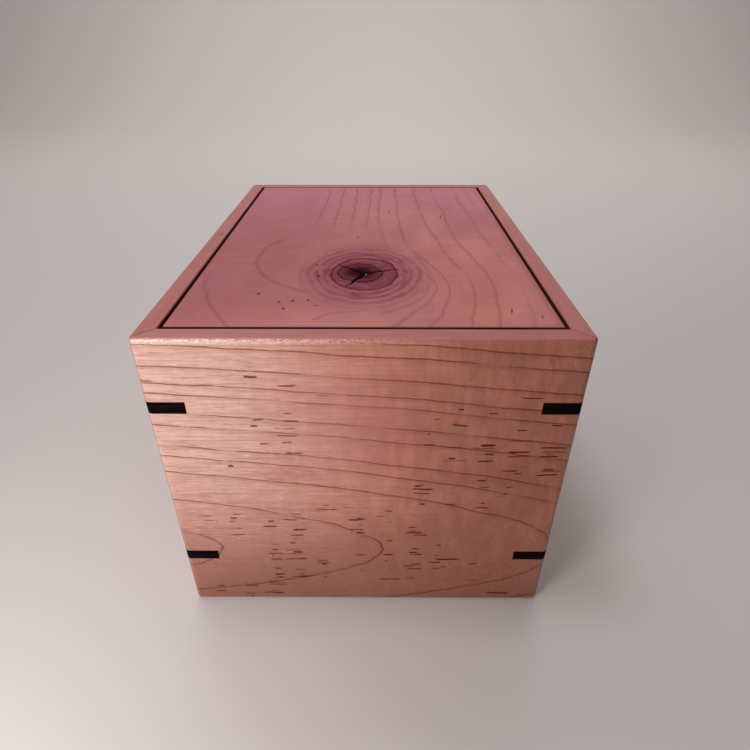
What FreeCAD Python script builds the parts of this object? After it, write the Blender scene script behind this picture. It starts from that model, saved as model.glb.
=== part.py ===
import FreeCAD, Part
import os

from FreeCAD import Vector

# Wooden puzzle box: a mitred maple case with black splines across its corners and a flush lid.
# The lid lifts straight off once four steel pins have left the slots in its battens.  Each pin
# lies in a stepped bore in a rail under the lid's edge.  Spinning the box throws the pins outwards
# against their magnets, which frees the lid.  A tap lets them slide back in, which locks it.
#
# Units are millimetres.  +Z is up, the front faces -Y, and the origin is the middle of the foot.
# The solids stand as in the closed and unlocked box.

# Case
case_width = 190.0  # along X
case_depth = 265.0  # along Y
case_height = 165.0
wall_thick = 9.0
corner_round = 3.0  # round-over along the upright corners
rim_round = 1.5  # round-over along the rim
foot_round = 2.0  # round-over along the foot
rim_arris = 0.4  # chamfer inside the rim

# Base panel, held in a groove all round the walls
groove_rise = 6.0  # from the foot to the groove's lower side
groove_depth = 4.5
base_thick = 6.0
base_play = 0.5  # room for the base panel to swell, on each side

# Splines, glued into slots sawn across the mitres
spline_thick = 6.2
spline_leg = 17.8  # length that shows on each face
upper_spline_drop = 34.0  # from the rim to the spline's middle
lower_spline_rise = 36.5  # from the foot to the spline's middle

# Lid
lid_thick = 9.0
lid_gap = 1.9  # round all four edges
lid_arris = 0.4

# Rails and ledges that the lid rests on
rail_height = 18.0
rail_hole_wall = 5.0  # wood between a pin's head and the rail's inner face
ledge_width = 12.0
ledge_height = 12.0
inner_arris = 0.8

# Locking pins and the magnets that park them
pin_nose_diameter = 6.0
pin_head_diameter = 9.0
pin_head_length = 4.0
pin_travel = 8.0
pin_recess = 1.0  # from the rail's inner face to the tip of a parked pin
pin_spread = 140.0  # between the front and back pins
pin_clearance = 0.08  # all round a pin in its rail
pin_arris = 0.6
pin_head_arris = 0.3
magnet_thick = 3.0
magnet_arris = 0.3

# Battens under the lid, which the pins lock into
batten_width = 22.0
batten_height = 18.0
batten_end_gap = 0.8  # between a batten and the rail
batten_slot_clearance = 0.75  # above and below a pin in its slot
batten_slot_spare = 1.2  # from the tip of a locked pin to the slot's end
batten_arris = 1.2

# Brass screws that hold the battens
screw_spread = 70.0
screw_diameter = 3.5
screw_head_diameter = 7.0
screw_head_height = 2.4
screw_slot_width = 1.0
screw_slot_depth = 1.1
screw_sink = 1.5  # from the batten's underside to the screw's head
screw_hole_clearance = 0.3
screw_cover = 3.0  # wood of the lid above the screw's tip
screw_point = 3.0  # length of the tapered tip

# Places that follow from the sizes above
half_width = case_width / 2
half_depth = case_depth / 2
inner_half_width = half_width - wall_thick
inner_half_depth = half_depth - wall_thick
lid_underside = case_height - lid_thick
rail_face = inner_half_width - magnet_thick - pin_head_length - pin_travel - rail_hole_wall
batten_underside = lid_underside - batten_height
batten_half_length = rail_face - batten_end_gap
pin_height = lid_underside - batten_height / 2
parked_tip = rail_face + pin_recess
locked_tip = parked_tip - pin_travel
screw_head_low = batten_underside + screw_sink
screw_head_high = screw_head_low + screw_head_height
screw_tip = case_height - screw_cover

SIDES = {"left": -1, "right": 1}
ENDS = {"front": -1, "back": 1}
PIN_PLACES = {end_name: end * pin_spread / 2 for end_name, end in ENDS.items()}
X_AXIS = Vector(1, 0, 0)
Z_AXIS = Vector(0, 0, 1)
TINY = 1e-6


def block(x, y, z):
    """A box from three (low, high) pairs."""
    return Part.makeBox(x[1] - x[0], y[1] - y[0], z[1] - z[0], Vector(x[0], y[0], z[0]))


def prism(outline, low, high):
    """A plan outline raised from low to high."""
    corners = [Vector(x, y, low) for x, y in outline]
    wire = Part.makePolygon(corners + corners[:1])
    return Part.Face(wire).extrude(Vector(0, 0, high - low))


def turned(shape):
    """The shape turned half way round the box's upright middle line: right becomes left."""
    copy = shape.copy()
    copy.rotate(Vector(0, 0, 0), Z_AXIS, 180)
    return copy


def edges_within(shape, x=None, y=None, z=None):
    """The edges that lie wholly at each coordinate that is given."""
    found = []
    for edge in shape.Edges:
        box = edge.BoundBox
        spans = ((x, box.XMin, box.XMax), (y, box.YMin, box.YMax), (z, box.ZMin, box.ZMax))
        if all(at is None or (abs(low - at) < TINY and abs(high - at) < TINY) for at, low, high in spans):
            found.append(edge)
    return found


def upright_edges(shape):
    """The edges that stand straight up."""
    return [e for e in shape.Edges if e.BoundBox.XLength < TINY and e.BoundBox.YLength < TINY]


# ------------------------------------------------------------------ case


def case_envelope():
    """The outside of the case: a block with its rim, upright corners and foot rounded over."""
    solid = block((-half_width, half_width), (-half_depth, half_depth), (0, case_height))
    solid = solid.makeFillet(corner_round, upright_edges(solid))
    solid = solid.makeFillet(rim_round, edges_within(solid, z=case_height))
    return solid.makeFillet(foot_round, edges_within(solid, z=0))


def spline_block(side, end, middle):
    """The three-cornered prism of one spline, before it is trimmed flush with the case."""
    corner_x = side * half_width
    corner_y = end * half_depth
    outline = [
        (corner_x, corner_y),
        (corner_x - side * spline_leg, corner_y),
        (corner_x, corner_y - end * spline_leg),
    ]
    return prism(outline, middle - spline_thick / 2, middle + spline_thick / 2)


def spline_blocks():
    """Every spline's prism by name: two to each upright corner."""
    levels = {"upper": case_height - upper_spline_drop, "lower": lower_spline_rise}
    found = {}
    for end_name, end in ENDS.items():
        for side_name, side in SIDES.items():
            for level_name, middle in levels.items():
                name = f"spline_{end_name}_{side_name}_{level_name}"
                found[name] = spline_block(side, end, middle)
    return found


def base_slab(margin):
    """A slab at the base panel's height that reaches margin past the inside of the walls."""
    x = inner_half_width + margin
    y = inner_half_depth + margin
    return block((-x, x), (-y, y), (groove_rise, groove_rise + base_thick))


def rim_cutter():
    """A frustum that chamfers the inside of the rim."""
    wires = []
    for z, grow in ((case_height - rim_arris, 0), (case_height, rim_arris)):
        x = inner_half_width + grow
        y = inner_half_depth + grow
        corners = [Vector(-x, -y, z), Vector(x, -y, z), Vector(x, y, z), Vector(-x, y, z)]
        wires.append(Part.makePolygon(corners + corners[:1]))
    return Part.makeLoft(wires, True, True)


def wall_parts(envelope, kerfs):
    """The four mitred walls, grooved for the base and sawn for the splines."""
    front_plan = [
        (-half_width, -half_depth),
        (half_width, -half_depth),
        (inner_half_width, -inner_half_depth),
        (-inner_half_width, -inner_half_depth),
    ]
    right_plan = [
        (half_width, -half_depth),
        (half_width, half_depth),
        (inner_half_width, inner_half_depth),
        (inner_half_width, -inner_half_depth),
    ]
    cutters = [base_slab(groove_depth), rim_cutter()] + kerfs
    front = prism(front_plan, 0, case_height).common(envelope).cut(cutters)
    right = prism(right_plan, 0, case_height).common(envelope).cut(cutters)
    return {
        "front_wall": front,
        "back_wall": turned(front),
        "right_wall": right,
        "left_wall": turned(right),
    }


def case_parts():
    """Walls, splines and base.  The splines are trimmed flush with the case, inside and out."""
    envelope = case_envelope()
    hollow_x = (-inner_half_width, inner_half_width)
    hollow_y = (-inner_half_depth, inner_half_depth)
    shell = envelope.cut(block(hollow_x, hollow_y, (0, case_height)))
    splines = spline_blocks()
    found = wall_parts(envelope, list(splines.values()))
    for name, spline in splines.items():
        found[name] = spline.common(shell)
    found["base_panel"] = base_slab(groove_depth - base_play)
    return found


# ------------------------------------------------------------------ lock


def pin_bore(y):
    """The stepped bore of one right-hand pin, open at both faces of its rail."""
    head_radius = pin_head_diameter / 2 + pin_clearance
    nose_radius = pin_nose_diameter / 2 + pin_clearance
    step = rail_face + rail_hole_wall
    wide = Part.makeCylinder(head_radius, inner_half_width - step, Vector(step, y, pin_height), X_AXIS)
    narrow = Part.makeCylinder(nose_radius, rail_hole_wall, Vector(rail_face, y, pin_height), X_AXIS)
    return wide.fuse(narrow)


def right_rail():
    """The rail under the lid's right edge, glued to the wall, with a bore for each pin."""
    low = lid_underside - rail_height
    solid = block((rail_face, inner_half_width), (-inner_half_depth, inner_half_depth), (low, lid_underside))
    inner_edges = edges_within(solid, x=rail_face, z=lid_underside) + edges_within(solid, x=rail_face, z=low)
    return solid.makeChamfer(inner_arris, inner_edges).cut([pin_bore(y) for y in PIN_PLACES.values()])


def front_ledge():
    """The ledge under the lid's front edge, between the rails."""
    low = lid_underside - ledge_height
    face = ledge_width - inner_half_depth
    solid = block((-rail_face, rail_face), (-inner_half_depth, face), (low, lid_underside))
    inner_edges = edges_within(solid, y=face, z=lid_underside) + edges_within(solid, y=face, z=low)
    return solid.makeChamfer(inner_arris, inner_edges)


def right_pin(y):
    """A stepped steel pin, parked against its magnet.  Its head stops it at both ends of its travel."""
    step = inner_half_width - magnet_thick - pin_head_length
    head = Part.makeCylinder(pin_head_diameter / 2, pin_head_length, Vector(step, y, pin_height), X_AXIS)
    rims = edges_within(head, x=step) + edges_within(head, x=step + pin_head_length)
    head = head.makeChamfer(pin_head_arris, rims)
    nose = Part.makeCylinder(pin_nose_diameter / 2, step - parked_tip, Vector(parked_tip, y, pin_height), X_AXIS)
    nose = nose.makeChamfer(pin_arris, edges_within(nose, x=parked_tip))
    return head.fuse(nose).removeSplitter()


def right_magnet(y):
    """The disc magnet at the outer end of a pin's bore."""
    face = inner_half_width - magnet_thick
    disc = Part.makeCylinder(pin_head_diameter / 2, magnet_thick, Vector(face, y, pin_height), X_AXIS)
    return disc.makeChamfer(magnet_arris, edges_within(disc, x=face) + edges_within(disc, x=inner_half_width))


def lock_parts():
    """Rails, ledges, pins and magnets.  Those on the left are the right-hand ones turned round."""
    rail = right_rail()
    ledge = front_ledge()
    found = {
        "right_rail": rail,
        "left_rail": turned(rail),
        "front_ledge": ledge,
        "back_ledge": turned(ledge),
    }
    for end_name, y in PIN_PLACES.items():
        found[f"pin_{end_name}_right"] = right_pin(y)
        found[f"magnet_{end_name}_right"] = right_magnet(y)
        found[f"pin_{end_name}_left"] = turned(right_pin(-y))
        found[f"magnet_{end_name}_left"] = turned(right_magnet(-y))
    return found


# ------------------------------------------------------------------ lid


def batten_screw(x, y):
    """A slotted brass screw that goes up through a batten into the lid, point uppermost."""
    head_radius = screw_head_diameter / 2
    radius = screw_diameter / 2
    head = Part.makeCylinder(head_radius, screw_head_height, Vector(x, y, screw_head_low), Z_AXIS)
    head = head.makeFillet(screw_head_height / 2, edges_within(head, z=screw_head_low))
    shank_length = screw_tip - screw_point - screw_head_high
    shank = Part.makeCylinder(radius, shank_length, Vector(x, y, screw_head_high), Z_AXIS)
    point = Part.makeCone(radius, 0, screw_point, Vector(x, y, screw_tip - screw_point), Z_AXIS)
    slot = block(
        (x - head_radius, x + head_radius),
        (y - screw_slot_width / 2, y + screw_slot_width / 2),
        (screw_head_low, screw_head_low + screw_slot_depth),
    )
    return head.fuse([shank, point]).removeSplitter().cut(slot)


def screw_places(y):
    """The two screws of the batten at y, in plan."""
    return [(side * screw_spread / 2, y) for side in SIDES.values()]


def batten(y):
    """A batten across the lid's underside, with a slot across each end for the pins."""
    across = (y - batten_width / 2, y + batten_width / 2)
    solid = block((-batten_half_length, batten_half_length), across, (batten_underside, lid_underside))
    solid = solid.makeChamfer(batten_arris, edges_within(solid, z=batten_underside))
    slot_half_height = pin_nose_diameter / 2 + batten_slot_clearance
    slot_rise = (pin_height - slot_half_height, pin_height + slot_half_height)
    slot_end = locked_tip - batten_slot_spare
    cutters = [
        block((slot_end, batten_half_length), across, slot_rise),
        block((-batten_half_length, -slot_end), across, slot_rise),
    ]
    sink_radius = screw_head_diameter / 2 + screw_hole_clearance
    hole_radius = screw_diameter / 2 + screw_hole_clearance
    sink_height = screw_head_high - batten_underside
    for place in screw_places(y):
        foot = Vector(*place, batten_underside)
        cutters.append(Part.makeCylinder(sink_radius, sink_height, foot, Z_AXIS))
        cutters.append(Part.makeCylinder(hole_radius, batten_height, foot, Z_AXIS))
    return solid.cut(cutters)


def lid_panel(screws):
    """The lid, flush with the rim, with a pilot hole for each screw."""
    x = inner_half_width - lid_gap
    y = inner_half_depth - lid_gap
    solid = block((-x, x), (-y, y), (lid_underside, case_height))
    solid = solid.makeChamfer(lid_arris, edges_within(solid, z=case_height))
    solid = solid.makeChamfer(lid_arris, edges_within(solid, z=lid_underside))
    return solid.cut(screws)


def lid_parts():
    """The lid panel, its battens and their screws."""
    found = {}
    screws = []
    for end_name, y in PIN_PLACES.items():
        pair = [batten_screw(*place) for place in screw_places(y)]
        screws += pair
        found[f"{end_name}_batten"] = batten(y)
        found[f"{end_name}_batten_screws"] = Part.makeCompound(pair)
    found["lid_panel"] = lid_panel(screws)
    return found


os.makedirs("parts", exist_ok=True)
for node, shape in {**case_parts(), **lock_parts(), **lid_parts()}.items():
    shape.exportStep(f"parts/{node}.step")
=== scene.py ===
import math
import random

import bpy
import numpy as np
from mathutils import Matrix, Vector


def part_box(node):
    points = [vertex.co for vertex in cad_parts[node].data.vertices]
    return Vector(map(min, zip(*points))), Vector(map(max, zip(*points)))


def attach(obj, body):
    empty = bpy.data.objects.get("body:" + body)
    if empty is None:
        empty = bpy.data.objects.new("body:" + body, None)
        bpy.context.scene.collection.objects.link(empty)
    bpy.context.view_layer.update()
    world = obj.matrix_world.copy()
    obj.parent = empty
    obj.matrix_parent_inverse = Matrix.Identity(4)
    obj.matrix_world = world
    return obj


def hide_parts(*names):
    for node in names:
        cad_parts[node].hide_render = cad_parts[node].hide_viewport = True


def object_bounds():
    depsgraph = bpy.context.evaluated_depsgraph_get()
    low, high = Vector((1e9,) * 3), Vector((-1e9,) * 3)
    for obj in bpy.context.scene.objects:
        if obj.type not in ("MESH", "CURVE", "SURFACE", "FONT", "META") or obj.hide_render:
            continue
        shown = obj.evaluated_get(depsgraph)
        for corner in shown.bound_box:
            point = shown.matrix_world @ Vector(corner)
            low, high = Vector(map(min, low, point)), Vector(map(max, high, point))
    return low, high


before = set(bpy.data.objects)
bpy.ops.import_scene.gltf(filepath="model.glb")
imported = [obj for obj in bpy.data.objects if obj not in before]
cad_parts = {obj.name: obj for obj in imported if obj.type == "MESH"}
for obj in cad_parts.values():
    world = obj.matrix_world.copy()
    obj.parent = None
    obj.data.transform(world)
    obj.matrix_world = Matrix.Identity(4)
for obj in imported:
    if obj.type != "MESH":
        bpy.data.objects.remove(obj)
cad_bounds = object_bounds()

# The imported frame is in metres.  Patterns in the wood and the lid's mesh are worked out in millimetres of
# the same frame, and MM is one millimetre in metres.
MM = 0.001

case_high = cad_bounds[1]
half_width = case_high[0] / MM
half_depth = case_high[1] / MM
rim_height = case_high[2] / MM
wall_thick = 9.0
lid_low, lid_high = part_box("lid_panel")


# ---------------------------------------------------------------- node graphs


class Graph:
    """One material's node tree.

    The methods take sockets or plain values.  All but feed and surface return one socket or a row of them.
    """

    def __init__(self, name):
        self.material = bpy.data.materials.new(name)
        self.material.use_nodes = True
        self.tree = self.material.node_tree
        self.tree.nodes.clear()
        place = self.tree.nodes.new("ShaderNodeTexCoord")
        split = self.tree.nodes.new("ShaderNodeSeparateXYZ")
        self.tree.links.new(place.outputs["Object"], split.inputs[0])
        self.x, self.y, self.z = [self.multiply(split.outputs[i], 1 / MM) for i in range(3)]

    def feed(self, socket, value):
        """Links a socket, or sets its value."""
        if isinstance(value, bpy.types.NodeSocket):
            self.tree.links.new(value, socket)
        elif isinstance(value, tuple) and len(value) == 3 and socket.type == "RGBA":
            socket.default_value = (*value, 1)
        else:
            socket.default_value = value

    def math(self, operation, *values, clamp=False):
        node = self.tree.nodes.new("ShaderNodeMath")
        node.operation = operation
        node.use_clamp = clamp
        for socket, value in zip(node.inputs, values):
            self.feed(socket, value)
        return node.outputs[0]

    def add(self, a, b):
        return self.math("ADD", a, b)

    def subtract(self, a, b):
        return self.math("SUBTRACT", a, b)

    def multiply(self, a, b):
        return self.math("MULTIPLY", a, b)

    def divide(self, a, b):
        return self.math("DIVIDE", a, b)

    def scaled(self, value, by, plus):
        """value * by + plus."""
        return self.math("MULTIPLY_ADD", value, by, plus)

    def absolute(self, value):
        return self.math("ABSOLUTE", value)

    def larger(self, a, b):
        return self.math("MAXIMUM", a, b)

    def swayed(self, value, noise, amount):
        """The value plus amount times how far the noise is over 0.5."""
        return self.add(value, self.multiply(self.subtract(noise, 0.5), amount))

    def fade(self, value, start, end):
        """0 at start and 1 at end, smoothly between; start may be the higher."""
        node = self.tree.nodes.new("ShaderNodeMapRange")
        node.interpolation_type = "SMOOTHSTEP"
        self.feed(node.inputs["Value"], value)
        low, high = sorted((start, end))
        node.inputs["From Min"].default_value = low
        node.inputs["From Max"].default_value = high
        node.inputs["To Min"].default_value = 0 if start < end else 1
        node.inputs["To Max"].default_value = 1 if start < end else 0
        return node.outputs["Result"]

    def vector(self, x, y, z):
        node = self.tree.nodes.new("ShaderNodeCombineXYZ")
        for socket, value in zip(node.inputs, (x, y, z)):
            self.feed(socket, value)
        return node.outputs[0]

    def noise(self, vector, detail=2.0, roughness=0.5):
        """Noise about 0.5 whose features are one unit of the vector across."""
        node = self.tree.nodes.new("ShaderNodeTexNoise")
        self.feed(node.inputs["Vector"], vector)
        node.inputs["Scale"].default_value = 1
        node.inputs["Detail"].default_value = detail
        node.inputs["Roughness"].default_value = roughness
        return node.outputs[0]

    def stretched(self, board, lengths, seed=0.0, **settings):
        """Noise with features of the given lengths, in millimetres along the three coordinates."""
        parts = [self.scaled(c, 1 / n, seed) for c, n in zip(board, lengths)]
        return self.noise(self.vector(*parts), **settings)

    def level(self, a, b, lengths, layer, **settings):
        """Noise on a flat face, with features of two lengths in millimetres along a and b."""
        across = [self.multiply(c, 1 / n) for c, n in zip((a, b), lengths)]
        return self.noise(self.vector(*across, layer), **settings)

    def length(self, a, b):
        return self.math("SQRT", self.add(self.multiply(a, a), self.multiply(b, b)))

    def between(self, a, b):
        """The vector from b to a."""
        node = self.tree.nodes.new("ShaderNodeVectorMath")
        node.operation = "SUBTRACT"
        self.feed(node.inputs[0], a)
        self.feed(node.inputs[1], b)
        return node.outputs[0]

    def parts(self, value):
        """The three numbers of a vector or colour."""
        node = self.tree.nodes.new("ShaderNodeSeparateXYZ")
        self.tree.links.new(value, node.inputs[0])
        return node.outputs

    def brighten(self, colour, amount):
        """The colour times a number."""
        node = self.tree.nodes.new("ShaderNodeVectorMath")
        node.operation = "SCALE"
        self.feed(node.inputs[0], colour)
        self.feed(node.inputs["Scale"], amount)
        return node.outputs[0]

    def mix(self, factor, a, b):
        """a where factor is 0 and b where it is 1."""
        node = self.tree.nodes.new("ShaderNodeMix")
        node.data_type = "RGBA"
        self.feed(node.inputs[0], factor)
        self.feed(node.inputs[6], a)
        self.feed(node.inputs[7], b)
        return node.outputs[2]

    def stain(self, colour, where, strength, stain):
        """The colour, covered by a stain as far as where times strength says."""
        return self.mix(self.multiply(where, strength), colour, stain)

    def steps(self, value, stops):
        """A stepped look-up: the colour of the last (position, colour) that value has passed, as channels."""
        node = self.tree.nodes.new("ShaderNodeValToRGB")
        ramp = node.color_ramp
        ramp.interpolation = "CONSTANT"
        ramp.elements[0].position = 0
        ramp.elements[0].color = (*stops[0][1], 1)
        ramp.elements.remove(ramp.elements[1])
        for position, colour in stops[1:]:
            ramp.elements.new(position).color = (*colour, 1)
        self.feed(node.inputs[0], value)
        split = self.tree.nodes.new("ShaderNodeSeparateColor")
        self.tree.links.new(node.outputs["Color"], split.inputs[0])
        return split.outputs

    def bump(self, height, depth, below=None):
        """A normal that follows height, where 1 stands depth millimetres proud of 0."""
        node = self.tree.nodes.new("ShaderNodeBump")
        node.inputs["Strength"].default_value = 1
        node.inputs["Distance"].default_value = depth * MM
        self.feed(node.inputs["Height"], height)
        if below is not None:
            self.feed(node.inputs["Normal"], below)
        return node.outputs[0]

    def surface(self, **inputs):
        """Ends the tree with a Principled shader and returns the material; names stand for its inputs."""
        shader = self.tree.nodes.new("ShaderNodeBsdfPrincipled")
        output = self.tree.nodes.new("ShaderNodeOutputMaterial")
        for name, value in inputs.items():
            self.feed(shader.inputs[name.replace("_", " ")], value)
        self.tree.links.new(shader.outputs[0], output.inputs["Surface"])
        return self.material


# ---------------------------------------------------------------- wood

MAPLE = (0.56, 0.200, 0.130)
MAPLE_PALE = (0.66, 0.275, 0.190)
MAPLE_WARM = (0.40, 0.115, 0.065)
RING_BROWN = (0.165, 0.032, 0.014)
FLECK_BROWN = (0.038, 0.004, 0.004)
# Painted light: the pink that the light from above gives the top edge of the walls.
TOP_LIGHT_PINK = (0.465, 0.158, 0.160)
RING_SPAN = 256.0  # millimetres that a look-up of rings spans
RING_LEAN = -0.01  # how far the middle line of the rings rises per millimetre along a board
WORN_WIDTH = 3.2  # how far from an arris the case is worn
NO_FLECKS = -1.0  # so low a share that no fleck is sown

# For each board, its (along, across, deep) coordinates.  deep is measured in from the outer face, and for the
# boards inside the box it is the height.
BOARDS = {
    "front": lambda g: (g.x, g.z, g.add(g.y, half_depth)),
    "back": lambda g: (g.multiply(g.x, -1), g.z, g.subtract(half_depth, g.y)),
    "left": lambda g: (g.multiply(g.y, -1), g.z, g.add(g.x, half_width)),
    "right": lambda g: (g.y, g.z, g.subtract(half_width, g.x)),
    "lid": lambda g: (g.y, g.x, g.subtract(rim_height, g.z)),
    "long": lambda g: (g.y, g.x, g.z),
    "cross": lambda g: (g.x, g.y, g.z),
}


def grown_rings(seed, first, last):
    """Ring radii that grow from first to last by uneven steps."""
    least, most = 4.5, 12.0
    draw = random.Random(seed)
    radii = [first]
    while radii[-1] < last:
        radii.append(radii[-1] + draw.uniform(least, most))
    return radii


def ring_lines(g, field, radii, wander, slope=1.0, width=0.36):
    """How dark the wood is where field passes each radius: a thin line with a soft shade inside it.

    slope is how fast the field grows per millimetre, which keeps the line's width even, and wander is
    noise that thins the line out where it is low.
    """
    shade_width, shade_strength = 3.2, 0.22
    stops = [(0.0, (radii[0] / RING_SPAN, 0, 0))]
    for inner, outer in zip(radii, radii[1:]):
        stops.append(((inner + outer) / 2 / RING_SPAN, (outer / RING_SPAN, 0, 0)))
    nearest = g.steps(g.multiply(field, 1 / RING_SPAN), stops)[0]
    past = g.divide(g.subtract(field, g.multiply(nearest, RING_SPAN)), slope)
    line = g.fade(g.absolute(past), width * 1.5, width * 0.5)
    line = g.multiply(line, g.fade(wander, 0.22, 0.52))
    shade = g.multiply(g.fade(past, -shade_width, -0.1), g.fade(past, 0.3, 0.0))
    return g.larger(line, g.multiply(shade, shade_strength))


def flecks(g, board, seed, patch):
    """Short dark streaks along the grain.  patch is the share of the cells that hold one, less a little."""
    length, width = 15.0, 2.3  # of the cells, each of which may hold one streak
    shortest, longer = 0.10, 0.40  # half a streak's length in cells: the least, and what chance adds
    thinnest, thicker = 0.145, 0.13  # the same for half its width
    palest, darker = 0.65, 0.35  # the same for how dark it is
    along, across, deep = board
    sway = g.level(along, across, (10, 6), seed, detail=1)
    place = g.vector(
        g.add(g.multiply(along, 1 / length), seed),
        g.add(g.multiply(across, 1 / width), g.multiply(sway, 0.7)),
        g.multiply(deep, 1 / width),
    )
    cells = g.tree.nodes.new("ShaderNodeTexVoronoi")
    cells.inputs["Scale"].default_value = 1
    cells.inputs["Randomness"].default_value = 0.85
    g.feed(cells.inputs["Vector"], place)
    chance = g.parts(cells.outputs["Color"])
    offset = g.parts(g.between(place, cells.outputs["Position"]))
    reach = g.scaled(chance[1], longer, shortest)
    run = g.fade(g.divide(g.absolute(offset[0]), reach), 1.0, 0.6)
    radius = g.length(offset[1], g.multiply(offset[2], 0.25))
    thick = g.fade(g.divide(radius, g.scaled(chance[2], thicker, thinnest)), 1.3, 0.75)
    lucky = g.fade(g.add(chance[0], patch), 0.985, 1.0)
    dark = g.scaled(g.math("FRACT", g.multiply(chance[0], 17)), darker, palest)
    return g.multiply(g.multiply(run, thick), g.multiply(lucky, dark))


def worn_edges(g):
    """1 along the case's outer arrises, where hands have burnished it."""
    inward = (
        g.subtract(half_width, g.absolute(g.x)),
        g.subtract(half_depth, g.absolute(g.y)),
        g.math("MINIMUM", g.z, g.subtract(rim_height, g.z)),
    )
    near_x, near_y, near_z = [g.fade(depth, WORN_WIDTH, 0.2) for depth in inward]
    upright = g.multiply(near_x, near_y)
    return g.larger(g.larger(upright, g.multiply(near_x, near_z)), g.multiply(near_y, near_z))


def wall_marks(g, colour, fibres, hair, pale, warm):
    """What only the case's walls have: painted shade in the gap by the lid, a top edge painted pink as the
    light from above falls on it, wear, and glue in the mitres.

    Returns the colour, and where the top edge and the painted gap shade are.
    """
    inner = g.larger(
        g.subtract(g.absolute(g.x), half_width - wall_thick),
        g.subtract(g.absolute(g.y), half_depth - wall_thick),
    )
    # Painted shade: the inner faces turn dark brown just below the rim, where the gap round the lid lies in
    # shade.
    gap_shade = g.multiply(g.fade(inner, 0.45, 0.05), g.fade(g.z, rim_height - 5.0, rim_height - 1.5))
    colour = g.stain(colour, gap_shade, 0.92, FLECK_BROWN)
    # Painted light: the walls' top edge is tinted pink as the light from above falls on it.
    top = g.fade(g.z, rim_height - 1.3, rim_height - 0.2)
    colour = g.stain(colour, top, 0.78, TOP_LIGHT_PINK)
    colour = g.stain(colour, top, g.multiply(g.fade(fibres, 0.42, 0.70), 0.40), warm)
    wear = g.multiply(worn_edges(g), g.fade(hair, 0.25, 0.60))
    colour = g.stain(colour, wear, 0.22, pale)
    from_mitre = g.subtract(
        g.subtract(half_width, g.absolute(g.x)),
        g.subtract(half_depth, g.absolute(g.y)),
    )
    glue = g.fade(g.absolute(from_mitre), 0.40, 0.14)
    return g.stain(colour, glue, 0.80, FLECK_BROWN), top, gap_shade


def wood(
    name,
    place,
    lines,
    tint=MAPLE,
    pale=MAPLE_PALE,
    warm=MAPLE_WARM,
    seed=0.0,
    sown=None,
    curled=None,
    mitred=True,
    ground=None,
    extra=None,
    grain=1.0,
    gloss=0.36,
    coat=0.50,
    specular=0.38,
    ring=RING_BROWN,
    plainness=0.74,
    dull=None,
):
    """Satin maple.

    lines(g, board) gives the growth rings' darkness, sown(g) and curled(g) where flecks and curl lie,
    ground(g, colour) tones the bare board and extra(g, colour) adds the marks of one board.
    dull(g) is 1 where the wood mirrors least, plainness is how dark the rings show and ring their colour,
    grain is how strong the fibres are, and mitred is true for the case's walls.
    """
    g = Graph(name)
    board = BOARDS[place](g)
    along, across, deep = board
    fibres = g.stretched(board, (60.0, 1.5, 1.5), seed, detail=3, roughness=0.65)
    hair = g.stretched(board, (13.0, 0.35, 0.35), seed + 3.1, detail=2, roughness=0.6)
    clouds = g.stretched(board, (62.0, 26.0, 26.0), seed + 5.7, detail=2)
    tooth = g.stretched(board, (7.0, 0.22, 0.22), seed + 12.0, detail=3, roughness=0.7)
    ticks = g.stretched(board, (0.7, 2.6, 2.0), seed + 14.2, detail=1)
    sparkle = g.multiply(g.fade(ticks, 0.52, 0.74), g.fade(clouds, 0.40, 0.62))
    sway = g.stretched(board, (50.0, 30.0, 60.0), seed + 1.9, detail=2)
    bent = (g.add(along, g.multiply(sway, 12.0)), across, deep)
    band = g.stretched(bent, (4.4, 15.0, 60.0), seed + 9.4, detail=2)
    strength = curled(g) if curled else 0.45
    curls = g.multiply(g.subtract(g.fade(band, 0.34, 0.80), 0.4), strength)

    colour = g.mix(g.fade(clouds, 0.30, 0.72), tint, pale)
    if ground:
        colour = ground(g, colour)
    colour = g.stain(colour, g.fade(fibres, 0.35, 0.80), 0.36 * grain, warm)
    colour = g.stain(colour, g.fade(hair, 0.50, 0.78), 0.30 * grain, warm)
    colour = g.stain(colour, sparkle, 0.20 * grain, pale)
    rings = lines(g, board)
    if mitred:
        rings = g.multiply(rings, g.scaled(g.fade(g.z, rim_height, rim_height - 2.5), 0.75, 0.25))
    colour = g.stain(colour, rings, plainness, ring)
    colour = g.brighten(colour, g.scaled(curls, 0.32, 1.0))
    patch = sown(g) if sown else g.multiply(g.fade(clouds, 0.50, 0.70), 0.10)
    marks = flecks(g, board, seed, patch)
    colour = g.stain(colour, marks, 0.92, FLECK_BROWN)
    sheen = g.subtract(1.0, g.multiply(g.larger(rings, marks), 0.95))
    if mitred:
        colour, top, gap_shade = wall_marks(g, colour, fibres, hair, pale, warm)
        # Less sheen on the painted top edge and in the painted gap shade.
        sheen = g.multiply(sheen, g.scaled(top, -0.70, 1.0))
        sheen = g.multiply(sheen, g.scaled(gap_shade, -0.95, 1.0))
    if extra:
        colour = extra(g, colour)

    rough = g.add(gloss, g.multiply(fibres, 0.16))
    rough = g.add(rough, g.multiply(curls, -0.12))
    rough = g.add(rough, g.multiply(marks, 0.25))
    rough = g.subtract(rough, g.multiply(sparkle, 0.05))
    relief = g.bump(tooth, 0.05 * grain)
    relief = g.bump(curls, 0.05, relief)
    sunk = g.larger(g.multiply(rings, 0.5), marks)
    relief = g.bump(g.subtract(1.0, sunk), 0.02, relief)
    return g.surface(
        Base_Color=colour,
        Roughness=rough,
        Normal=relief,
        IOR=g.scaled(dull(g), -0.42, 1.5) if dull else 1.5,
        Coat_Weight=g.multiply(sheen, coat) if coat else 0.0,
        Coat_Roughness=0.24,
        Specular_IOR_Level=g.multiply(sheen, specular),
    )


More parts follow.
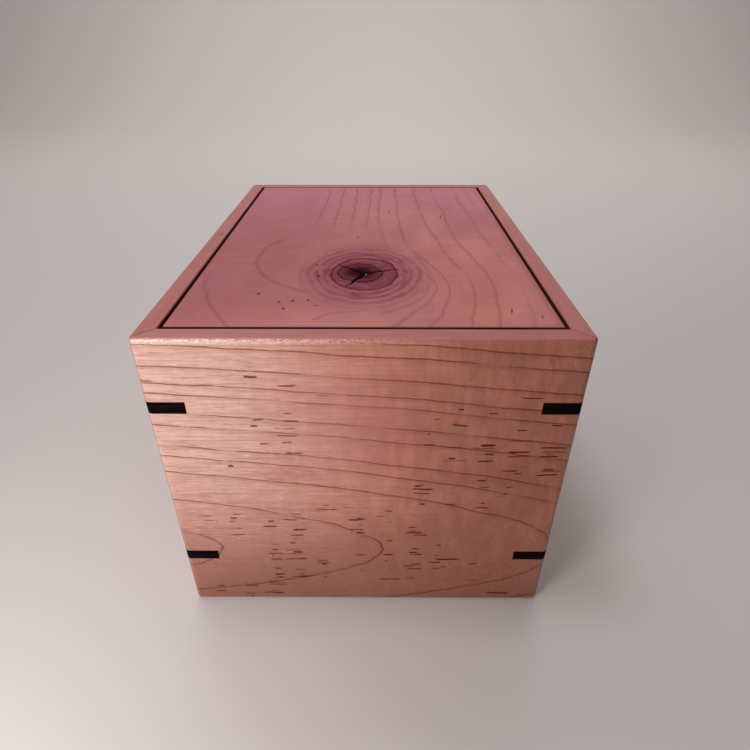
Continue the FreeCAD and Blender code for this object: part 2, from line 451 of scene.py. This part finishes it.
def cathedral(radii, heart, apex, taper, seed):
    """Growth rings of a flat-sawn board: nested arches about the height heart that widen from apex on."""

    def lines(g, board):
        along, across, deep = board
        wobble = g.stretched(board, (40, 34, 20), seed, detail=2, roughness=0.5)
        ripple = g.stretched(board, (6, 4, 4), seed + 4, detail=1)
        rise = g.subtract(g.subtract(across, heart), g.multiply(along, RING_LEAN))
        reach = g.add(g.multiply(g.subtract(along, apex), taper), deep)
        field = g.length(rise, reach)
        slope = g.divide(g.length(rise, g.multiply(reach, taper)), field)
        field = g.swayed(field, wobble, 2.6)
        field = g.swayed(field, ripple, 0.40)
        wander = g.stretched(board, (34, 7, 7), seed + 8, detail=2)
        return ring_lines(g, field, radii, wander, g.larger(slope, 0.2))

    return lines


def oval(g, x, y, middle_x, middle_y, half_x, half_y):
    """Distance from a middle, where 1 is the rim of an oval."""
    return g.length(
        g.multiply(g.subtract(x, middle_x), 1 / half_x),
        g.multiply(g.subtract(y, middle_y), 1 / half_y),
    )


# ---------------------------------------------------------------- front face

FRONT_RINGS = (32, 45, 60, 68.5, 74, 85, 91.5, 101, 106, 114, 124, 130, 139)
FLECK_PATCHES = (  # (x, z, half width, half height, how thickly sown) on the front face
    (64, 108, 36, 29, 0.25),
    (-34, 33, 16, 20, 0.42),
    (25, 33, 16, 22, 0.38),
    (-58, 62, 34, 6, 0.44),
    (-18, 67, 30, 6, 0.42),
    (10, 55, 18, 6, 0.38),
    (-38, 118, 14, 12, 0.22),
    (45, 80, 26, 10, 0.24),
    (-60, 8, 30, 7, 0.30),
)
# More ovals on the front face: (x, z, half width, half height).
BLOTCH = (-34, 93, 19, 5.5)
CAST = (-8, 122, 46, 38)
DRY_GRAIN = (-38, 103, 34, 13)

# Painted sheen on the upper left of the front face.
SHEEN_PALE = (0.775, 0.500, 0.430)
# Painted shade towards the foot of the front face.
FOOT_SHADE_BROWN = (0.262, 0.104, 0.067)
# Painted shade towards the right of the front face, away from the light.
RIGHT_SHADE_BROWN = (0.305, 0.090, 0.049)
BLOTCH_RED = (0.36, 0.085, 0.060)
CAST_PURPLE = (0.54, 0.205, 0.215)
DRY_ORANGE = (0.74, 0.40, 0.30)
FIBRE_BROWN = (0.36, 0.150, 0.105)
# Pale fibres painted as glints of the light on the left of the front face.
FIBRE_GLINT = (0.88, 0.62, 0.52)
GLINT_PINK = (0.95, 0.76, 0.70)


def front_flecks(g):
    """Flecks gather in a few patches of the front face, with hardly any between."""
    thick = 0.004
    for x, z, half_x, half_z, amount in FLECK_PATCHES:
        inside = g.fade(oval(g, g.x, g.z, x, z, half_x, half_z), 1.15, 0.80)
        thick = g.math("MAXIMUM", thick, g.multiply(inside, amount))
    return thick


def front_curl(g):
    """The curl is plain in the right half and faint in the left."""
    right = g.multiply(g.fade(g.x, -30, 35), g.fade(g.z, 15, 80))
    return g.math("MULTIPLY_ADD", right, 0.62, 0.30)


def front_tone(g, colour):
    """Painted light and shade: a pale sheen towards the upper left corner, where the light from the left
    glances off the face, and painted shade towards the foot and the right.
    """
    # Painted sheen: paler towards the upper left, where the light glances off the face.
    painted_sheen = g.multiply(g.fade(g.x, 15, -75), g.fade(g.z, -10, 125))
    colour = g.stain(colour, painted_sheen, 0.88, SHEEN_PALE)
    # Painted shade: browner towards the foot.
    colour = g.stain(colour, g.fade(g.z, 100, -5), 0.90, FOOT_SHADE_BROWN)
    # Painted shade: browner towards the right, away from the light.
    return g.stain(colour, g.fade(g.x, -15, 75), 0.72, RIGHT_SHADE_BROWN)


def front_marks(g, colour):
    """A reddish blotch, a purple cast and dried-out grain, crisp fibres with pale glints painted among them
    on the left, and a painted glint on the upper arris.
    """
    patchy = g.level(g.x, g.z, (9, 3.5), 3.3, detail=3, roughness=0.6)
    blotch = g.fade(g.swayed(oval(g, g.x, g.z, *BLOTCH), patchy, 2.4), 1.3, 0.1)
    colour = g.stain(colour, blotch, 0.46, BLOTCH_RED)
    cast = g.fade(oval(g, g.x, g.z, *CAST), 1.15, 0.2)
    colour = g.stain(colour, cast, 0.30, CAST_PURPLE)
    ticks = g.level(g.x, g.z, (1.1, 3.8), 8.8, detail=3, roughness=0.7)
    dry = g.multiply(g.fade(oval(g, g.x, g.z, *DRY_GRAIN), 1.2, 0.1), g.fade(ticks, 0.44, 0.72))
    colour = g.stain(colour, dry, 0.40, DRY_ORANGE)
    # Crisp fibres on the left, where the light falls: dark grain, and pale fibres that are painted glints.
    crisp = g.level(g.x, g.z, (7.0, 0.85), 5.5, detail=3, roughness=0.65)
    height = g.multiply(g.fade(g.z, 10, 70), g.fade(g.z, rim_height - 0.3, rim_height - 1.2))
    left = g.multiply(g.fade(g.x, 30, -70), height)
    colour = g.stain(colour, g.multiply(left, g.fade(crisp, 0.52, 0.72)), 0.50, FIBRE_BROWN)
    colour = g.stain(colour, g.multiply(left, g.fade(crisp, 0.46, 0.30)), 0.45, FIBRE_GLINT)
    # Painted highlight: a broken glint along the upper arris.
    broken = g.level(g.x, g.z, (1.5, 0.55), 7.7, detail=3, roughness=0.7)
    arris = g.multiply(
        g.fade(g.z, rim_height - 3.2, rim_height - 1.4),
        g.fade(g.z, rim_height - 0.15, rim_height - 0.5),
    )
    glint = g.multiply(arris, g.multiply(g.fade(g.x, 40, -60), g.fade(broken, 0.38, 0.62)))
    return g.stain(colour, glint, 0.80, GLINT_PINK)


# ---------------------------------------------------------------- lid

KNOT = Vector((-0.7, -61.5))  # middle of the knot, seen from above, in millimetres
KNOT_STRETCH = 0.78  # how much narrower the knot's rings are across the lid than along it
KNOT_SIZE = 16.7  # half the width of the ring that bounds the knot
FLOW_MIDDLE = Vector((0.0, -78.0))  # where the grain parts round the knot
FLOW_SIZE = 30.0  # radius of the spot that it parts round
FLOW_ZERO = 60.0  # where on FLOW_RINGS' scale the middle of the flow is
FLOW_RINGS = (30, 41, 51, 61, 68, 79, 95, 108, 124, 133)
HEART = Vector((-2.2, 1.0))  # the knot's dark heart, from the knot's middle
HEART_STRETCH = 0.88
HEART_SIZE = 11.2
KNOT_RINGS = (5, 8, 20.5, 24, 28.5, 33)
FAR_RING = 400  # stands in for the next ring where there is only one
ARC_MIDDLE = Vector((-1.5, 23.5))  # of two arcs on the left, from the knot's middle
CURL_MIDDLE = Vector((2.5, -57.0))  # of a small curl in front of the knot
CRACKS = (  # far ends of the three splits, from the knot's middle
    Vector((-14.5, 12.5)),
    Vector((16.3, 5.8)),
    Vector((-8.6, -17.4)),
)
CRACK_HALF_WIDTH = 1.35
CRACK_DEPTH = 2.2
CRACK_TAPER = 0.8  # share of its width that a split loses by its far end
CRACK_BEND = 0.32
CRACK_WAVE = 0.75  # radians of a split's bends per millimetre
CRACK_STRAIGHT = 6  # millimetres over which the bends grow to their full size
RESIN = Vector((0.6, -0.5))  # a bead of dried resin where the splits meet
RESIN_SIZE = 0.75
SPECK_SIZE = (0.95, 1.5)  # half width and half length
SPECKS = ((-50, -88), (-39, -97), (-36, -104), (-33, -96), (-26, -95), (-24, -66), (-26, -50), (-6, -3))
DASHES = (  # (x, y, half length, half width)
    (65, -106, 3.4, 0.5),
    (-22, -101, 0.5, 2.2),
    (77, -112, 2.4, 0.35),
    (14, 52, 6.0, 0.35),
    (48, 40, 7.0, 0.4),
)
FRONT_GLOW = (20, -125, 120, 32)  # oval along the front edge: (x, y, half width, half length)

KNOT_BROWN = (0.108, 0.020, 0.032)
KNOT_RED = (0.195, 0.040, 0.058)
KNOT_BLACK = (0.028, 0.004, 0.010)
KNOT_PALE = (0.42, 0.150, 0.155)
HALO_PURPLE = (0.248, 0.060, 0.100)
STREAK_PURPLE = (0.135, 0.026, 0.054)
CLOUD_PURPLE = (0.40, 0.130, 0.180)
# Painted shade on the left of the lid.
LEFT_SHADE_BROWN = (0.36, 0.112, 0.128)
# Painted sheen of the surroundings on the back of the lid.
BACK_SHEEN_PURPLE = (0.545, 0.216, 0.256)
# Painted light: a lighter strip along the front of the lid.
FRONT_LIGHT_ORANGE = (0.62, 0.245, 0.200)
# Pale paint on the resin bead for the highlight it catches.
RESIN_GLINT_PINK = (0.66, 0.42, 0.40)


def knot_place(g):
    """(x, y, radius) from the knot's middle; the radius is measured on the knot's own oval."""
    here = (g.x, g.y, g.z)
    x = g.swayed(g.subtract(g.x, KNOT.x), g.stretched(here, (15, 15, 60), 2.7, detail=2), 3.4)
    y = g.swayed(g.subtract(g.y, KNOT.y), g.stretched(here, (11, 17, 60), 6.1, detail=2), 4.6)
    return x, y, g.length(x, g.multiply(y, KNOT_STRETCH))


def arc(g, x, y, middle, squash, radius, wander, width, slope=1.0):
    """One dark ring about middle, squash times as wide as it is long."""
    field = g.length(g.subtract(x, middle.x), g.multiply(g.subtract(y, middle.y), squash))
    return ring_lines(g, field, (radius, FAR_RING), g.add(wander, 0.10), slope, width)


def lid_lines(g, board):
    """Grain that parts round the knot, two arcs on its left, a curl in front of it and its own rings."""
    x, y, radius = knot_place(g)
    wander = g.stretched(board, (38, 9, 38), 21.0, detail=2)
    past = g.subtract(y, FLOW_MIDDLE.y - KNOT.y)
    reach = g.larger(g.add(g.multiply(x, x), g.multiply(past, past)), 1.0)
    flow = g.multiply(x, g.subtract(1.0, g.divide(FLOW_SIZE**2, reach)))
    flow = g.swayed(flow, g.stretched(board, (70, 24, 60), 17.0, detail=2), 7.0)
    grain = ring_lines(g, g.add(flow, FLOW_ZERO), FLOW_RINGS, wander, 1.0, 0.85)
    seen = g.larger(g.fade(x, 3, 12), g.multiply(g.fade(y, 62, 100), g.fade(x, -44, -26)))
    grain = g.multiply(grain, g.multiply(seen, g.multiply(g.fade(x, 82, 66), g.fade(radius, 27, 33))))
    inner = arc(g, x, y, ARC_MIDDLE, 1.06, 57, wander, 0.90)
    inner = g.multiply(inner, g.multiply(g.fade(x, -8, -30), g.fade(y, 66, 44)))
    outer = arc(g, x, y, ARC_MIDDLE, 0.71, 80.5, wander, 0.85)
    outer = g.multiply(outer, g.multiply(g.fade(x, -36, -48), g.fade(y, 0, -14)))
    curl = arc(g, x, y, CURL_MIDDLE, 1.9, 24, wander, 0.85, slope=1.3)
    seen = g.multiply(g.multiply(g.fade(y, -56, -52), g.fade(y, -34, -40)), g.fade(x, 16, 4))
    curl = g.multiply(curl, seen)
    figure = g.larger(g.larger(grain, inner), g.larger(outer, curl))
    turn = g.level(x, y, (13, 13), 4.4, detail=2)
    rings = ring_lines(g, radius, KNOT_RINGS, turn, 1.0, 1.10)
    rings = g.multiply(rings, g.fade(g.add(radius, g.multiply(turn, 16)), 45, 34))
    return g.larger(g.multiply(rings, 0.62), g.multiply(figure, 0.36))


def lid_tone(g, colour):
    """Painted shade browner on the left, a painted purple sheen to the back, a painted lighter orange strip
    in front, and painted shade round the sides below the arris, where the gap is dark.
    """
    # Painted shade: browner towards the left of the lid.
    colour = g.stain(colour, g.fade(g.x, 10, -60), 0.62, LEFT_SHADE_BROWN)
    # Painted sheen: purple towards the back, as the surroundings reflect there.
    colour = g.stain(colour, g.fade(g.y, -30, 110), 0.78, BACK_SHEEN_PURPLE)
    # Painted light: lighter and more orange along the front edge.
    colour = g.stain(colour, g.fade(oval(g, g.x, g.y, *FRONT_GLOW), 1.1, 0.5), 0.5, FRONT_LIGHT_ORANGE)
    # Painted shade: the lid's sides darken below the arris, where they lie in the dark gap.
    gap_shade = g.multiply(
        g.fade(g.z, rim_height - 0.10, rim_height - 0.42),
        g.fade(g.z, rim_height - 3.0, rim_height - 1.6),
    )
    return g.stain(colour, gap_shade, 0.96, FLECK_BROWN)


def knot_marks(g, colour):
    """The knot: a flamed halo, red wood inside the bounding ring, and a dark heart with its own edge."""
    x, y, radius = knot_place(g)
    patchy = g.stretched((g.x, g.y, g.z), (6, 8, 30), 31.0, detail=3, roughness=0.6)
    spokes = g.vector(g.multiply(radius, 1 / 2.6), g.multiply(g.math("ARCTAN2", y, x), 2.2), 0.0)
    flame = g.noise(spokes, detail=2, roughness=0.6)
    halo = g.multiply(g.fade(radius, 44, 14), g.scaled(flame, 0.85, 0.20))
    colour = g.mix(halo, colour, HALO_PURPLE)
    streaks = g.multiply(g.fade(flame, 0.54, 0.70), g.fade(radius, 34, 20))
    colour = g.stain(colour, streaks, 0.58, STREAK_PURPLE)
    inside = g.fade(radius, KNOT_SIZE + 0.6, KNOT_SIZE - 1.2)
    colour = g.stain(colour, inside, g.scaled(patchy, 0.50, 0.42), KNOT_RED)
    bound = g.absolute(g.subtract(radius, KNOT_SIZE))
    colour = g.stain(colour, g.fade(bound, 1.0, 0.25), 0.85, KNOT_BROWN)
    heart = g.length(g.subtract(x, HEART.x), g.multiply(g.subtract(y, HEART.y), HEART_STRETCH))
    heart = g.swayed(heart, patchy, 5.0)
    colour = g.stain(colour, g.fade(heart, HEART_SIZE + 1.0, HEART_SIZE - 0.6), 0.62, KNOT_BROWN)
    edge = g.absolute(g.subtract(heart, HEART_SIZE))
    colour = g.stain(colour, g.fade(edge, 0.8, 0.2), 0.7, KNOT_BLACK)
    colour = g.stain(colour, g.fade(heart, 10.0, 3.5), 0.90, KNOT_BLACK)
    pale = g.multiply(g.fade(heart, 13.0, 16.0), g.multiply(inside, g.fade(patchy, 0.50, 0.62)))
    return g.stain(colour, pale, 0.35, KNOT_PALE)


def lid_marks(g, colour):
    """Cloudy purple casts and the knot, right through; on the top its splits, a bead of resin painted pale as
    a highlight, and specks.
    """
    clouds = g.stretched((g.x, g.y, g.z), (34, 60, 60), 41.0, detail=2)
    through = g.stain(colour, g.fade(clouds, 0.44, 0.66), 0.28, CLOUD_PURPLE)
    through = knot_marks(g, through)
    burnt = g.fade(crack_distance(g), 1.5, 0.7)
    colour = g.stain(through, burnt, 0.93, KNOT_BLACK)
    # The resin bead, raised in the mesh and painted pale as a highlight on it.
    bead = g.length(
        g.subtract(g.subtract(g.x, KNOT.x), RESIN.x),
        g.subtract(g.subtract(g.y, KNOT.y), RESIN.y),
    )
    colour = g.mix(g.fade(bead, RESIN_SIZE * 1.1, RESIN_SIZE * 0.8), colour, RESIN_GLINT_PINK)
    marks = 0.0
    for x, y in SPECKS:
        marks = g.larger(marks, g.fade(oval(g, g.x, g.y, x, y, *SPECK_SIZE), 1.0, 0.5))
    for x, y, half_length, half in DASHES:
        tilt = g.scaled(g.subtract(g.y, y), -0.18, g.x) if half_length > half else g.x
        marks = g.larger(marks, g.fade(oval(g, tilt, g.y, x, y, half, half_length), 1.0, 0.5))
    colour = g.stain(colour, marks, 0.80, FLECK_BROWN)
    return g.mix(g.fade(g.z, rim_height - 5.0, rim_height - 3.0), through, colour)


def knot_dull(g):
    """1 over the knot, which is open-pored and dry and so mirrors little."""
    return g.fade(knot_place(g)[2], 34, 15)


def crack_distance(g):
    """How far a point of the lid lies from the nearest split, in half widths of the split there."""
    x = g.subtract(g.x, KNOT.x)
    y = g.subtract(g.y, KNOT.y)
    nearest = 9.0
    for end in CRACKS:
        ahead = end.normalized()
        run = g.add(g.multiply(x, ahead.x), g.multiply(y, ahead.y))
        side = g.subtract(g.multiply(y, ahead.x), g.multiply(x, ahead.y))
        wave = g.math("SINE", g.multiply(run, CRACK_WAVE))
        bend = g.multiply(wave, g.math("MULTIPLY", run, 1 / CRACK_STRAIGHT, clamp=True))
        share = g.math("MULTIPLY", run, 1 / end.length, clamp=True)
        half = g.scaled(share, -CRACK_TAPER * CRACK_HALF_WIDTH, CRACK_HALF_WIDTH)
        beyond = g.larger(g.subtract(run, end.length), g.multiply(run, -1))
        off = g.divide(g.absolute(g.scaled(bend, CRACK_BEND, side)), half)
        nearest = g.math("MINIMUM", nearest, g.larger(off, g.add(beyond, 0.5)))
    return nearest


def crack_depth(x, y):
    """How deep the splits cut at points measured from the knot's middle, in millimetres."""
    depth = np.zeros_like(x)
    for end in CRACKS:
        length = end.length
        run = (x * end.x + y * end.y) / length
        side = (y * end.x - x * end.y) / length
        side = side + CRACK_BEND * np.sin(run * CRACK_WAVE) * np.clip(run / CRACK_STRAIGHT, 0, 1)
        share = np.clip(run / length, 0, 1)
        half = CRACK_HALF_WIDTH * (1 - CRACK_TAPER * share)
        ends = np.clip((length - run) / 2.0, 0, 1) * np.clip((run + 1.5) / 1.5, 0, 1)
        flanks = np.clip(1.35 - np.abs(side) / half, 0, 1)
        depth = np.maximum(depth, CRACK_DEPTH * (1 - 0.5 * share) * ends * flanks)
    return depth


def lid_relief(x, y):
    """How far the lid's top lies below its flat at points from the knot's middle, as a number below 0."""
    radius = np.hypot(x, y * KNOT_STRETCH)
    crown = 0.10 * np.exp(-((radius / KNOT_SIZE) ** 4))
    groove = 0.22 * np.exp(-(((radius - KNOT_SIZE) / 0.8) ** 2))
    heart = -0.18 * np.clip(1 - radius / 9, 0, 1) * (1 + 0.5 * np.sin(x * 1.9) * np.cos(y * 1.3))
    bead = np.clip(1 - (np.hypot(x - RESIN.x, y - RESIN.y) / RESIN_SIZE) ** 2, 0, 1)
    relief = np.minimum(crown - groove, 0) + heart - crack_depth(x, y) + 1.5 * np.sqrt(bead)
    return np.minimum(relief, 0)


def grid_lines(low, high, middle, fine_half, fine_step, coarse_step):
    """Grid positions from low to high: fine about the middle, coarse elsewhere."""
    fine = np.arange(middle - fine_half, middle + fine_half, fine_step)
    before = np.linspace(low, fine[0], max(2, int((fine[0] - low) / coarse_step)), endpoint=False)
    after = np.linspace(high, fine[-1], max(2, int((high - fine[-1]) / coarse_step)), endpoint=False)[::-1]
    return np.concatenate([before, fine, after])


def outline(xs, ys):
    """The grid's outline, anticlockwise from its first corner."""
    points = [(x, ys[0]) for x in xs]
    points += [(xs[-1], y) for y in ys[1:]]
    points += [(x, ys[-1]) for x in xs[-2::-1]]
    points += [(xs[0], y) for y in ys[-2:0:-1]]
    return points


def make_lid():
    """The lid as one closed mesh: a chamfered slab whose top has the knot's relief and open splits."""
    arris = 0.4
    fine_step, coarse_step = 0.3, 4
    fine_width, fine_length = 22, 26  # from the knot's middle to the edges of the fine grid
    low = np.array(lid_low) / MM
    high = np.array(lid_high) / MM
    thick = high[2] - low[2]
    xs = grid_lines(low[0] + arris, high[0] - arris, KNOT.x, fine_width, fine_step, coarse_step)
    ys = grid_lines(low[1] + arris, high[1] - arris, KNOT.y, fine_length, fine_step, coarse_step)
    gx, gy = np.meshgrid(xs, ys)
    gz = high[2] + lid_relief(gx - KNOT.x, gy - KNOT.y)
    rows, columns = gx.shape
    points = np.stack([gx, gy, gz], -1).reshape(-1, 3).tolist()
    faces = []
    for j in range(rows - 1):
        for i in range(columns - 1):
            a = j * columns + i
            faces.append((a, a + 1, a + columns + 1, a + columns))
    loop = list(range(columns))
    loop += [j * columns + columns - 1 for j in range(1, rows)]
    loop += [(rows - 1) * columns + i for i in range(columns - 2, -1, -1)]
    loop += [j * columns for j in range(rows - 2, 0, -1)]
    # Rings round the slab from the top down: how far each stands out from the grid, and how low it lies.
    for grow, drop in ((arris, arris), (arris, thick - arris), (0, thick)):
        ring = []
        for x, y in outline(xs, ys):
            ring.append(len(points))
            out_x = grow * (np.sign(x) if x in (xs[0], xs[-1]) else 0)
            out_y = grow * (np.sign(y) if y in (ys[0], ys[-1]) else 0)
            points.append([x + out_x, y + out_y, high[2] - drop])
        for n in range(len(loop)):
            m = (n + 1) % len(loop)
            faces.append((loop[m], loop[n], ring[n], ring[m]))
        loop = ring
    faces.append(tuple(loop[::-1]))
    mesh = bpy.data.meshes.new("lid_top")
    mesh.from_pydata([Vector(p) * MM for p in points], [], faces)
    mesh.validate()
    for face in mesh.polygons[: (rows - 1) * (columns - 1)]:
        face.use_smooth = True
    lid = bpy.data.objects.new("lid_top", mesh)
    bpy.context.scene.collection.objects.link(lid)
    return lid


# ---------------------------------------------------------------- black wood and metal


BLACK = (0.0030, 0.0012, 0.0015)
BLACK_PORE = (0.014, 0.0045, 0.0050)
BLACK_STREAK = (0.020, 0.0055, 0.0060)


def black_wood():
    """Oiled black hardwood with fine open pores."""
    g = Graph("black_wood")
    here = (g.x, g.y, g.z)
    pores = g.stretched(here, (9, 9, 0.7), 1.0, detail=3, roughness=0.7)
    streaks = g.stretched(here, (30, 30, 1.6), 5.0, detail=2)
    colour = g.mix(g.fade(pores, 0.42, 0.75), BLACK, BLACK_PORE)
    colour = g.stain(colour, g.fade(streaks, 0.5, 0.7), 0.5, BLACK_STREAK)
    return g.surface(
        Base_Color=colour,
        Roughness=g.add(0.50, g.multiply(pores, 0.18)),
        Normal=g.bump(pores, 0.06),
        Specular_IOR_Level=0.02,
    )


def metal(name, colour, dull, lathe, spots):
    """Turned metal: rings along X lathe millimetres apart, and dull tarnish in spots of the given size."""
    g = Graph(name)
    rings = g.noise(g.vector(g.multiply(g.x, 1 / lathe), 0.0, 0.0), detail=2)
    tarnish = g.stretched((g.x, g.y, g.z), (spots, spots, spots), 4.0, detail=3, roughness=0.6)
    shade = g.stain(colour, g.fade(tarnish, 0.45, 0.75), 0.5, dull)
    return g.surface(
        Base_Color=shade,
        Metallic=1.0,
        Roughness=g.add(0.20, g.multiply(tarnish, 0.25)),
        Normal=g.bump(rings, 0.01),
    )


# ---------------------------------------------------------------- dressing


def dress(node, material):
    """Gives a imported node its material."""
    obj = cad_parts[node]
    obj.data.materials.clear()
    obj.data.materials.append(material)


def sawn(place, rings, heart, apex, taper, seed, **settings):
    """A board of the given place whose rings are (seed, first, last) of grown_rings."""
    lines = cathedral(grown_rings(*rings), heart, apex, taper, seed)
    return wood("maple_" + place, place, lines, seed=seed, **settings)


front = wood(
    "maple_front",
    "front",
    cathedral(FRONT_RINGS, heart=41, apex=-274, taper=0.16, seed=1.0),
    seed=1.0,
    sown=front_flecks,
    curled=front_curl,
    ground=front_tone,
    extra=front_marks,
    grain=1.45,
)
back = sawn("back", (5, 12, 190), heart=58, apex=-250, taper=0.15, seed=31.0, plainness=0.56)
left = sawn("left", (8, 10, 190), heart=92, apex=-330, taper=0.13, seed=51.0, plainness=0.56)
right = sawn("right", (9, 10, 190), heart=70, apex=-340, taper=0.12, seed=71.0, plainness=0.56)
planed = {"tint": (0.56, 0.27, 0.17), "pale": (0.68, 0.38, 0.25), "mitred": False, "gloss": 0.52, "coat": 0.0}
inside_long = sawn("long", (3, 10, 250), heart=60, apex=-300, taper=0.1, seed=91.0, **planed)
inside_cross = sawn("cross", (4, 10, 250), heart=30, apex=-300, taper=0.1, seed=95.0, **planed)
lid_wood = wood(
    "maple_lid",
    "lid",
    lid_lines,
    tint=(0.52, 0.185, 0.165),
    pale=(0.60, 0.235, 0.210),
    warm=(0.43, 0.130, 0.105),
    seed=11.0,
    sown=lambda g: NO_FLECKS,
    curled=lambda g: 0.22,
    mitred=False,
    ground=lid_tone,
    extra=lid_marks,
    grain=0.35,
    gloss=0.50,
    coat=0.0,
    specular=0.07,
    ring=(0.170, 0.036, 0.042),
    dull=knot_dull,
)
black = black_wood()
steel = metal("pin_steel", (0.62, 0.63, 0.64), (0.42, 0.40, 0.38), lathe=0.12, spots=6)
nickel = metal("magnet_nickel", (0.70, 0.69, 0.66), (0.50, 0.47, 0.42), lathe=0.3, spots=5)
brass = metal("screw_brass", (0.72, 0.50, 0.20), (0.38, 0.23, 0.09), lathe=0.2, spots=4)

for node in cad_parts:
    if node.startswith("spline"):
        dress(node, black)
    elif node.startswith("pin"):
        dress(node, steel)
    elif node.startswith("magnet"):
        dress(node, nickel)
    elif node.endswith("screws"):
        dress(node, brass)
    elif node.endswith("rail"):
        dress(node, inside_long)
    else:
        dress(node, inside_cross)
dress("front_wall", front)
dress("back_wall", back)
dress("left_wall", left)
dress("right_wall", right)

lid = make_lid()
lid.data.materials.append(lid_wood)
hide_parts("lid_panel")
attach(lid, "lid")


# ---------------------------------------------------------------- stage


NEARLY_WHITE = (1.0, 0.97, 0.96)
LIGHTS = (  # (name, place, target, size, watts, colour)
    ("key", (-0.22, -0.37, 0.20), (-0.05, -0.13, 0.12), 0.14, 0.84, (1.0, 0.95, 0.93)),
    ("top", (-0.22, -0.10, 1.10), (0, 0.02, 0.15), 0.26, 2.6, (1.0, 0.90, 1.0)),
    ("backdrop", (0.0, 1.45, 1.7), (0, 1.9, 0), 2.2, 30.0, NEARLY_WHITE),
)


def stage_plane():
    """A pale floor that curves up into a backdrop."""
    half, start, depth, bend, wall = 3.0, -4.0, 2.2, 0.7, 2.5  # metres; bend is the curve's radius
    steps = 16
    profile = [(start, 0.0), (depth - bend, 0.0)]
    for k in range(1, steps + 1):
        turn = math.pi / 2 * k / steps
        profile.append((depth - bend + bend * math.sin(turn), bend - bend * math.cos(turn)))
    profile.append((depth, wall))
    points = [(side, y, z) for y, z in profile for side in (-half, half)]
    faces = [(2 * i, 2 * i + 1, 2 * i + 3, 2 * i + 2) for i in range(len(profile) - 1)]
    mesh = bpy.data.meshes.new("stage")
    mesh.from_pydata(points, [], faces)
    for face in mesh.polygons:
        face.use_smooth = True
    stage = bpy.data.objects.new("stage", mesh)
    bpy.context.scene.collection.objects.link(stage)
    g = Graph("stage")
    stage.data.materials.append(g.surface(Base_Color=(0.64, 0.61, 0.59), Roughness=0.9))


def soft_light(name, place, target, size, watts, colour):
    """A square area light at place that faces target."""
    data = bpy.data.lights.new(name, "AREA")
    data.shape = "SQUARE"
    data.size = size
    data.energy = watts
    data.color = colour
    lamp = bpy.data.objects.new(name, data)
    lamp.location = place
    lamp.rotation_euler = (Vector(target) - Vector(place)).to_track_quat("-Z", "Y").to_euler()
    bpy.context.scene.collection.objects.link(lamp)


def place_camera():
    """Close in front of the box and a little above its rim, looking down over the lid."""
    aside, before, above = 0.0055, 0.1912, 0.1029  # metres from the middle of the rim's front edge
    look_down, turn = 32.07, 0.21  # degrees
    data = bpy.data.cameras.new("camera")
    data.sensor_width = 36
    data.lens = 26.03
    data.clip_start = 0.01
    camera = bpy.data.objects.new("camera", data)
    camera.location = (aside, -half_depth * MM - before, rim_height * MM + above)
    camera.rotation_euler = (math.radians(90 - look_down), 0, math.radians(turn))
    bpy.context.scene.collection.objects.link(camera)
    bpy.context.scene.camera = camera


def soft_surroundings():
    """A faint even light from all sides."""
    world = bpy.data.worlds.new("world")
    world.use_nodes = True
    background = world.node_tree.nodes["Background"]
    background.inputs["Color"].default_value = (*NEARLY_WHITE, 1)
    background.inputs["Strength"].default_value = 0.13
    bpy.context.scene.world = world


stage_plane()
for name, place, target, size, watts, colour in LIGHTS:
    soft_light(name, place, target, size, watts, colour)
soft_surroundings()
bpy.context.scene.view_settings.view_transform = "Standard"
place_camera()
